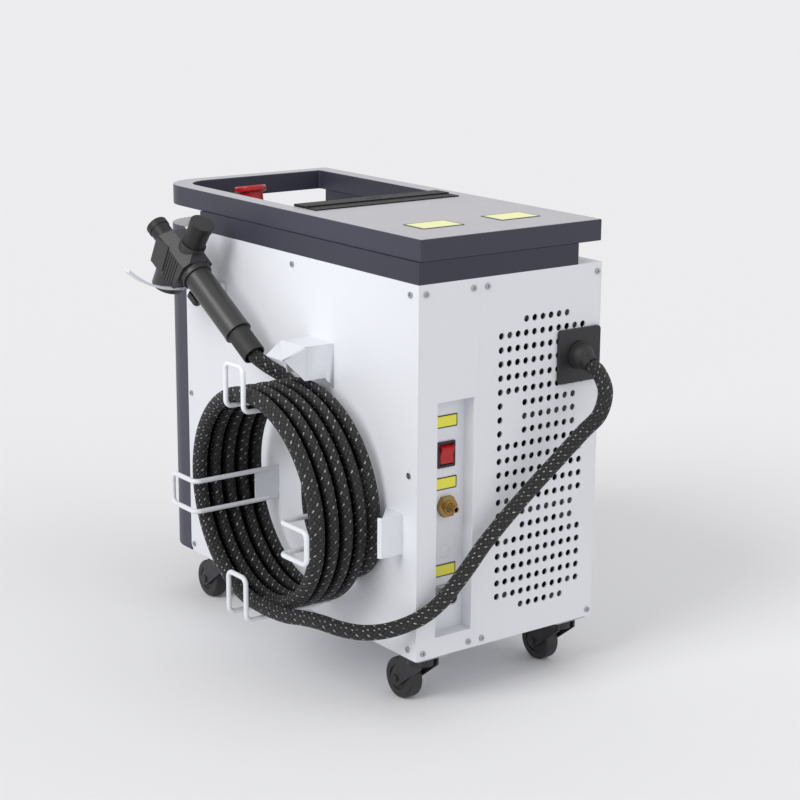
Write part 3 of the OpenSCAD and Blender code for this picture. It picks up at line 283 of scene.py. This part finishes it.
yellow = finish("yellow_foil", (0.83, 0.78, 0.06), 0.45, grain=1500, depth=0.02, vary=0.04)
label = finish("label_foil", (0.83, 0.79, 0.07), 0.45, grain=1500, depth=0.02, vary=0.04,
               printed=border("recess_labels", line=1.4, axis=2))
pale = finish("pale_foil", (0.86, 0.88, 0.42), 0.45, grain=1500, depth=0.02, vary=0.04,
              printed=border("top_plates", line=2.4, axis=1))
brass = finish("brass", (0.33, 0.21, 0.07), 0.24, metal=1.0, grain=1600, depth=0.03, vary=0.08,
               edge=1, edge_colour=(0.8, 0.6, 0.25), stretch=(1, 12, 1))
steel = finish("zinc_steel", (0.42, 0.43, 0.45), 0.33, metal=1.0, grain=1400, depth=0.03, vary=0.07,
               stretch=(1, 1, 6))
aluminium = finish("bare_aluminium", (0.66, 0.67, 0.69), 0.38, metal=1.0, grain=1300, depth=0.03,
                   vary=0.05, stretch=(1, 9, 1))
anodised = finish("gun_anodised", (0.030, 0.030, 0.031), 0.36, grain=1500, depth=0.04, vary=0.12,
                  edge=3, edge_colour=(0.11, 0.11, 0.12))
motor_shell = finish("motor_shell", (0.014, 0.014, 0.015), 0.45, grain=1500, depth=0.04, vary=0.12,
                     edge=3, edge_colour=(0.08, 0.08, 0.09), spec=0.35)
tyre = finish("tyre", (0.013, 0.013, 0.014), 0.5, grain=1200, depth=0.06, vary=0.15,
              edge=1.5, edge_colour=(0.05, 0.05, 0.05))
board = finish("circuit_board", (0.03, 0.17, 0.07), 0.4, grain=600, depth=0.05, vary=0.2)
screen = finish("screen_glass", (0.006, 0.006, 0.008), 0.08, grain=300, depth=0.004, vary=0.05,
                coat=0.6, spread=0.04)


LENS_BLUE = (0.70, 0.78, 0.86)
LENS_PALE = (0.78, 0.84, 0.9)
LENS_ROUGH_RAMP = (0.3, 0.03), (0.7, 0.08)
LENS_CLEAR = 0.85
LENS_IOR = 1.46


def glass_material():
    net = Net("lens_glass")
    tint = net.mix(net.noise(40), shade(LENS_BLUE), shade(LENS_PALE))
    rough = net.ramp(net.noise(120), *LENS_ROUGH_RAMP)
    net.fill(net.surface, {"Base Color": tint, "Roughness": rough,
                           "Transmission Weight": LENS_CLEAR, "IOR": LENS_IOR})
    return net.material


lens = glass_material()

# Woven sleeve, with its lengths in millimetres and ramps as places and greys
STRANDS = 9
CROSSING = 6.6
WEAVE_HEIGHT = 2.2
WEAVE_ROUGH_RAMP = (0.0, 0.75), (1.0, 0.42)
FIBRE_WAVES = 40
FIBRE_HEIGHT = 0.05
FIBRE_SHARE = 0.24
# Painted shade between the turns of the coil: its ramp and the lightness it leaves
GAP_SHADE_RAMP = (0.50, 1.0), (0.95, 0.0)
GAP_SHADE_SHARE = 0.08
WEAVE_SHINE = 0.4
# Light flecks, partly the hose's tracers and partly painted highlights: their width, length, patches
# and share
FLECK_WIDTH_RAMP = (0.82, 0.0), (0.96, 1.0)
FLECK_LENGTH_RAMP = (0.15, 0.0), (0.5, 1.0)
FLECK_PATCH_SCALE = 55
FLECK_PATCH_RAMP = (0.40, 0.15), (0.56, 1.0)
FLECK_SHARE = 0.9
# Painted shade: the near black of the weave's grooves
GROOVE_SHADE_BLACK = (0.0008, 0.0008, 0.0009)
STRAND_BLACK = (0.016, 0.016, 0.017)
FIBRE_GREY = (0.055, 0.055, 0.058)
# Painted shade: the black painted where a side faces the next turn of the coil
GAP_SHADE_BLACK = (0.0004, 0.0004, 0.0004)
# The grey of the flecks: light tracers, with painted highlight
TRACER_AND_HIGHLIGHT_GREY = (0.50, 0.50, 0.51)


def braid_material():
    """Two sets of strands that cross over and under, with light flecks: partly the hose's tracers,
    partly painted highlights.

    The hose's "UVMap" has once round in U and metres along in V, and "Gap" has in U how far a
    side faces the next turn of the coil; there the braid is painted dark and dull, as painted shade."""
    net = Net("hose_braid")
    lie = net.split(net.node("UVMap", uv_map="UVMap").outputs[0])
    facing_turn = net.split(net.node("UVMap", uv_map="Gap").outputs[0])[0]
    # Painted shade: 1 in the open, down to 0 where a side faces the next turn of the coil
    unshaded = net.ramp(facing_turn, *GAP_SHADE_RAMP)
    around = net.times(lie[0], STRANDS)
    along = net.math("DIVIDE", lie[1], CROSSING * MM)
    first = net.plus(around, along)
    second = net.minus(around, along)
    first_part = net.math("FRACT", first)
    second_part = net.math("FRACT", second)
    second_count = net.math("FLOOR", second)
    over = net.math("FLOORED_MODULO", net.plus(net.math("FLOOR", first), second_count), 2.0)
    under = net.minus(1.0, over)

    def on_top(a, b):
        """One value where the first set lies on top, and another where the second does."""
        return net.plus(net.times(a, over), net.times(b, under))

    first_arch = net.math("SINE", net.times(first_part, math.pi))
    second_arch = net.math("SINE", net.times(second_part, math.pi))
    first_height = net.times(second_arch, net.plus(net.times(first_arch, 0.5), 0.5))
    second_height = net.times(first_arch, net.plus(net.times(second_arch, 0.5), 0.5))
    height = on_top(first_height, second_height)
    fibres = net.math("SINE", net.times(on_top(first_part, second_part), FIBRE_WAVES))

    every_other = net.math("LESS_THAN", net.math("FLOORED_MODULO", second_count, 2.0), 0.5)
    middle = net.times(net.ramp(second_arch, *FLECK_WIDTH_RAMP),
                       net.ramp(first_arch, *FLECK_LENGTH_RAMP))
    # Painted highlight: the flecks fade in patches, as highlights come and go with the light
    patchy = net.ramp(net.noise(FLECK_PATCH_SCALE, detail=2, rough=0.6), *FLECK_PATCH_RAMP)
    # Flecks on the strands that lie on top, partly tracers and partly painted highlights, only on sides
    # in the open
    tracer_and_highlight = net.times(every_other, over, middle, unshaded, patchy, FLECK_SHARE)

    # Painted shade: the weave is painted darker towards its low parts, for the shade in its grooves
    tint = net.mix(height, shade(GROOVE_SHADE_BLACK), shade(STRAND_BLACK))
    tint = net.mix(net.times(net.plus(fibres, 1.0), FIBRE_SHARE), tint, shade(FIBRE_GREY))
    # Painted shade: sides that face the next turn of the coil are painted near black
    seen = net.plus(net.times(unshaded, 1 - GAP_SHADE_SHARE), GAP_SHADE_SHARE)
    tint = net.mix(seen, shade(GAP_SHADE_BLACK), tint)
    bump = net.node("Bump", {"Height": net.plus(height, net.times(fibres, FIBRE_HEIGHT)),
                             "Strength": 1.0, "Distance": WEAVE_HEIGHT * MM})
    # Painted shade also takes the shine away where a side faces the next turn of the coil
    net.fill(net.surface, {"Base Color": net.mix(tracer_and_highlight, tint, shade(TRACER_AND_HIGHLIGHT_GREY)),
                           "Roughness": net.ramp(height, *WEAVE_ROUGH_RAMP),
                           "Specular IOR Level": net.times(unshaded, WEAVE_SHINE),
                           "Normal": bump.outputs[0]})
    return net.material


braid = braid_material()

# Hose: its diameter in metres, and the CAD's route in millimetres and degrees
HOSE_D = 0.018
HOSE_SIDES = 28
HOSE_STEP = 3
LEAD = HOSE_D / MM / 3
CURVE_PARTS = 12
GUN_AT = Vector((182, -143.7, 464))
GUN_YAW = math.radians(7.3)
GUN_PITCH = math.radians(36.8)
GUN_WAY = Vector((-math.sin(GUN_YAW) * math.cos(GUN_PITCH), math.cos(GUN_YAW) * math.cos(GUN_PITCH),
                  -math.sin(GUN_PITCH)))
HANDLE_LEN = 99.5
SLEEVE_LEN = 38
SLEEVE_BORE = 15
PAST_SLEEVE = 2
COIL_X, COIL_Y, COIL_Z = 149.5, 66.5, 235
COIL_RY, COIL_RZ = 118.5, 127
COIL_PITCH = 19.5
COIL_LEAN = 8
COIL_TURNS = 4.75
COIL_LAST = round(360 * COIL_TURNS)
COIL_STEP = 5
GLAND_DIP = math.radians(25)
GLAND_WAY = Vector((0, math.cos(GLAND_DIP), -math.sin(GLAND_DIP)))
GLAND_RING_AT = Vector((-100.8, 257, 400.5))
GLAND_STUB = 20
GLAND_END = GLAND_RING_AT + GLAND_STUB * GLAND_WAY
TAIL = [(160, -16.2, 370.1), (149.2, -2, 360.4), (144.3, 13, 348.3), (144.3, 28.5, 328.5),
        (144.3, 37.5, 307), (144.3, 42.5, 284.5), (144.3, 45, 262), (144.3, 46, 240),
        (144.3, 46.5, 217.5), (144.3, 50.5, 196), (144.3, 61, 176.5), (144.3, 78, 162),
        (144.3, 98.5, 153.5), (144.3, 120.5, 149.5), (144.3, 143, 152), (144.3, 164.5, 164),
        (145.2, 179, 182.5)]
RUN = [(229.7, 124.8, 108), (221.8, 148.6, 110.4), (213.7, 172.2, 110.8), (202, 194, 107),
       (187, 215, 105.5), (170, 234, 109), (151, 250, 117), (130.5, 261, 128), (110, 266.5, 143),
       (91, 267.5, 160), (72, 268, 178), (53.5, 267.5, 196.5), (34.5, 268.5, 214),
       (15.5, 270.5, 231.5), (-4, 272.5, 248.5), (-23, 275.5, 265.5), (-41.5, 280, 283),
       (-58, 287, 302), (-72, 296, 321), (-84.5, 309, 342.5), (-96, 305, 368)]
# Turns that touch lie past an X, within a share of the ring and short of the last turn's outer side
TURNS_FROM = 154
RING_SHARE = 0.1
LAST_TURN_HALF = 5


def coil_point(degrees):
    angle = math.radians(degrees)
    return Vector((COIL_X + COIL_PITCH * degrees / 360 + COIL_LEAN * math.sin(angle),
                   COIL_Y + COIL_RY * math.cos(angle), COIL_Z + COIL_RZ * math.sin(angle)))


def coil_way(degrees):
    angle = math.radians(degrees)
    return Vector((COIL_PITCH / (2 * math.pi) + COIL_LEAN * math.cos(angle),
                   -COIL_RY * math.sin(angle), COIL_RZ * math.cos(angle))).normalized()


def hose_points():
    """The route from the gun's sleeve over the coil to the gland, in millimetres."""
    start = coil_point(0) - 3 * LEAD * coil_way(0)
    end = coil_point(COIL_LAST) + 3 * LEAD * coil_way(COIL_LAST)
    inner = HANDLE_LEN + SLEEVE_LEN - SLEEVE_BORE
    outer = HANDLE_LEN + SLEEVE_LEN + PAST_SLEEVE
    tail = [GUN_AT + along * GUN_WAY for along in (inner, (inner + outer) / 2, outer)]
    tail += [Vector(point) for point in TAIL]
    tail += [start - steps * LEAD * coil_way(0) for steps in (2, 1, 0)]
    coil = [coil_point(degrees) for degrees in range(0, COIL_LAST + 1, COIL_STEP)]
    run = [end + steps * LEAD * coil_way(COIL_LAST) for steps in (0, 1)]
    run += [Vector(point) for point in RUN]
    run += [GLAND_END + steps * LEAD * GLAND_WAY for steps in (2, 1, 0)]
    return tail + coil + run


def curve_span(a, b, c, d):
    """Points of a centripetal Catmull-Rom curve from b on, up to c."""
    at_b = (b - a).length ** 0.5
    at_c = at_b + (c - b).length ** 0.5
    at_d = at_c + (d - c).length ** 0.5
    points = []
    for part in range(CURVE_PARTS):
        t = at_b + (at_c - at_b) * part / CURVE_PARTS
        ab = a.lerp(b, t / at_b)
        bc = b.lerp(c, (t - at_b) / (at_c - at_b))
        cd = c.lerp(d, (t - at_c) / (at_d - at_c))
        points.append(ab.lerp(bc, t / at_c).lerp(bc.lerp(cd, (t - at_b) / (at_d - at_b)),
                                                 (t - at_b) / (at_c - at_b)))
    return points


def even_steps(points, step):
    """Points at even steps along a line, the last one at its end."""
    steps, left = [points[0]], step
    for here, there in zip(points, points[1:]):
        length = (there - here).length
        while length >= left:
            here = here.lerp(there, left / length)
            steps.append(here)
            length = (there - here).length
            left = step
        left -= length
    steps[-1] = points[-1]
    return steps


def smooth(points):
    """A curve through the points, in even steps."""
    p = [2 * points[0] - points[1]] + points + [2 * points[-1] - points[-2]]
    curve = []
    for neighbours in zip(p, p[1:], p[2:], p[3:]):
        curve += curve_span(*neighbours)
    return even_steps(curve + [points[-1]], HOSE_STEP)


def link(name, mesh, material):
    made = bpy.data.objects.new(name, mesh)
    scene.collection.objects.link(made)
    mesh.materials.append(material)
    return made


def tucked(point, side):
    """How far a side of the hose faces a neighbouring turn of the coil along X, 0 to 1."""
    x, y, z = point / MM
    across = (y - COIL_Y) / COIL_RY
    above = (z - COIL_Z) / COIL_RZ
    turn = math.degrees(math.atan2(above, across)) % 360
    last_x = coil_point(turn + 360 * math.floor((COIL_LAST - turn) / 360)).x
    in_coil = x >= TURNS_FROM and abs(math.hypot(across, above) - 1) < RING_SHARE
    outer = side > 0 and x > last_x - LAST_TURN_HALF
    return abs(side) if in_coil and not outer else 0.0


def tube_mesh(name, line, radius, sides):
    """A closed tube along a line, with the two UV layers that the braid reads, and its length."""
    bm = bmesh.new()
    lie = bm.loops.layers.uv.new("UVMap")
    # The Gap layer marks where the braid is painted as painted shade between the turns of the coil
    gap = bm.loops.layers.uv.new("Gap")
    across = Vector((1, 0, 0))
    rings, lengths = [], [0.0]
    for i, middle in enumerate(line):
        way = (line[min(i + 1, len(line) - 1)] - line[max(i - 1, 0)]).normalized()
        across = (across - across.dot(way) * way).normalized()
        other = way.cross(across)
        turns = [2 * math.pi * k / sides for k in range(sides)]
        rings.append([bm.verts.new(middle + radius * (math.cos(turn) * across + math.sin(turn) * other))
                      for turn in turns])
        if i:
            lengths.append(lengths[-1] + (middle - line[i - 1]).length)
    for i in range(len(line) - 1):
        for k in range(sides):
            corners = ((i, k), (i, k + 1), (i + 1, k + 1), (i + 1, k))
            face = bm.faces.new([rings[ring][side % sides] for ring, side in corners])
            face.smooth = True
            for loop, (ring, side) in zip(face.loops, corners):
                facing = (loop.vert.co.x - line[ring].x) / radius
                loop[lie].uv = (side / sides, lengths[ring])
                loop[gap].uv = (tucked(line[ring], facing), 0.0)
    bm.faces.new(list(reversed(rings[0])))
    bm.faces.new(rings[-1])
    mesh = bpy.data.meshes.new(name)
    bm.to_mesh(mesh)
    bm.free()
    return mesh, lengths[-1]


def make_hose():
    line = [point * MM for point in smooth(hose_points())]
    mesh, hose_len = tube_mesh("hose", line, HOSE_D / 2, HOSE_SIDES)
    hose = link("hose", mesh, braid)
    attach(hose, "machine")
    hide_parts("hose_tail", "hose_coil", "hose_run")


make_hose()

# Stage, with sizes and places in metres and angles in degrees
FLOOR_SIZE = 60
FLOOR_WHITE = (0.87, 0.87, 0.885)
FLOOR_ROUGH = 0.9
WORLD_LIGHT = 0.70
# Each sun's strength, softness and way
SUNS = {"key": (1.15, 28, (-0.78, -0.10, -0.60)), "fill": (0.25, 50, (0.25, -0.8, -0.55))}
GLOW_WATTS = 19
GLOW_CONE = 30
GLOW_SOFT = 0.25
GLOW_AT = (1.25, 0.10, 0.85)
GLOW_WAY = (-1.115, -0.05, -0.41)


def make_floor():
    mesh = bpy.data.meshes.new("floor")
    bm = bmesh.new()
    bmesh.ops.create_grid(bm, x_segments=4, y_segments=4, size=FLOOR_SIZE)
    bm.to_mesh(mesh)
    bm.free()
    net = Net("floor")
    net.fill(net.surface, {"Base Color": shade(FLOOR_WHITE), "Roughness": FLOOR_ROUGH,
                           "Specular IOR Level": 0.0})
    link("floor", mesh, net.material)


def make_world():
    """Even light, seen as plain white by the camera and in reflections."""
    world = bpy.data.worlds.new("studio")
    scene.world = world
    world.use_nodes = True
    tree = world.node_tree
    tree.nodes.clear()

    def node(kind):
        return tree.nodes.new("ShaderNode" + kind)

    def white_light(strength):
        light = node("Background")
        light.inputs["Color"].default_value = (1, 1, 1, 1)
        light.inputs["Strength"].default_value = strength
        return light.outputs[0]

    path = node("LightPath")
    seen = node("Math")
    seen.operation = "MAXIMUM"
    mix = node("MixShader")
    tree.links.new(path.outputs["Is Camera Ray"], seen.inputs[0])
    tree.links.new(path.outputs["Is Glossy Ray"], seen.inputs[1])
    tree.links.new(seen.outputs[0], mix.inputs[0])
    tree.links.new(white_light(WORLD_LIGHT), mix.inputs[1])
    tree.links.new(white_light(1.0), mix.inputs[2])
    tree.links.new(mix.outputs[0], node("OutputWorld").inputs[0])


def make_light(name, kind, energy, way, at=(0, 0, 0)):
    data = bpy.data.lights.new(name, kind)
    data.energy = energy
    light = bpy.data.objects.new(name, data)
    light.location = at
    light.rotation_mode = "QUATERNION"
    light.rotation_quaternion = Vector(way).to_track_quat("-Z", "Y")
    scene.collection.objects.link(light)
    return data


def make_lights():
    """Two soft suns, and a soft spot on the cabinet's hose side."""
    for name, (strength, softness, way) in SUNS.items():
        make_light(name, "SUN", strength, way).angle = math.radians(softness)
    glow = make_light("glow", "SPOT", GLOW_WATTS, GLOW_WAY, GLOW_AT)
    glow.spot_size = math.radians(GLOW_CONE)
    glow.spot_blend = 1.0
    glow.shadow_soft_size = GLOW_SOFT


make_floor()
make_world()
make_lights()
scene.view_settings.view_transform = "Standard"

# Rounded edges, with angles in degrees
FLAT_ANGLE = 0.6
SHARP_ANGLE = 32
EDGE_SEGMENTS = 2
FLAT_WEIGHT = 90


def dress(name, width, material):
    """The CAD piece with real rounded edges, in place of its node; width in millimetres."""
    piece = nodes[name]
    mesh = bpy.data.meshes.new("dressed_" + name)
    bm = bmesh.new()
    bm.from_mesh(piece.data)
    bmesh.ops.remove_doubles(bm, verts=bm.verts, dist=SAME_POINT)
    bmesh.ops.dissolve_limit(bm, angle_limit=math.radians(FLAT_ANGLE), verts=bm.verts, edges=bm.edges)
    for face in bm.faces:
        face.smooth = True
    bm.to_mesh(mesh)
    bm.free()
    copy = link("dressed_" + name, mesh, material)
    edges = copy.modifiers.new("edges", "BEVEL")
    edges.width = width * MM
    edges.segments = EDGE_SEGMENTS
    edges.limit_method = "ANGLE"
    edges.angle_limit = math.radians(SHARP_ANGLE)
    edges.use_clamp_overlap = True
    flats = copy.modifiers.new("flats", "WEIGHTED_NORMAL")
    flats.mode = "FACE_AREA"
    flats.weight = FLAT_WEIGHT
    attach(copy, piece["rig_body"])
    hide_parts(name)


def paint(name, material):
    for slot in nodes[name].material_slots:
        slot.material = material


# Each plain piece's finish
PLAIN = {
    "base_plate": white, "top_plate": white, "grille_panel": white, "inner_frame": steel,
    "panel_screws": steel, "caster_plates": steel, "laser_source": aluminium, "power_supply": steel,
    "control_board": board, "fan_frames": black, "fan_rotor_top": black, "fan_rotor_middle": black,
    "fan_rotor_bottom": black, "nozzle_lens": lens, "hose_tail": braid, "hose_coil": braid,
    "hose_run": braid, "gun_holder": white,
}
# Each dressed piece's edge in millimetres and its finish
EDGED = {
    "hose_side_panel": (0.5, white), "far_side_panel": (0.5, white), "connector_panel": (0.4, white),
    "recess_tray": (0.3, white), "front_fascia": (1.0, fascia), "neck": (0.3, dark),
    "handle_slab": (1.1, slab_grey), "console": (1.0, slab_grey), "touch_screen": (0.6, screen),
    "trim_strip": (0.4, trim), "top_plates": (0.15, pale), "recess_labels": (0.15, label),
    "stop_collar": (0.6, yellow), "stop_button": (0.4, red), "rocker_bezel": (0.45, black),
    "power_rocker": (0.4, red), "gas_inlet": (0.3, brass), "power_socket": (0.3, steel),
    "connector_plate": (0.8, black), "cable_gland": (0.5, rubber),
    **{"hose_hook_" + place: (0.3, white) for place in ("top", "rear", "front", "bottom")},
    "coil_guards": (0.4, white), "gun_handle": (0.4, anodised), "gun_sleeve": (0.8, rubber),
    "gun_collar": (0.8, anodised), "gun_head": (0.9, anodised), "scan_motor_front": (0.7, motor_shell),
    "scan_motor_top": (0.7, motor_shell), "gun_nozzle": (0.6, anodised), "gun_trigger": (0.6, black),
}
for corner in ("rear_hose", "rear_far", "front_hose", "front_far"):
    EDGED["caster_fork_" + corner] = (0.7, black)
    EDGED["wheel_" + corner] = (0.6, tyre)


def dress_machine():
    for name, material in PLAIN.items():
        paint(name, material)
    for name, (width, material) in EDGED.items():
        paint(name, material)
        dress(name, width, material)


dress_machine()
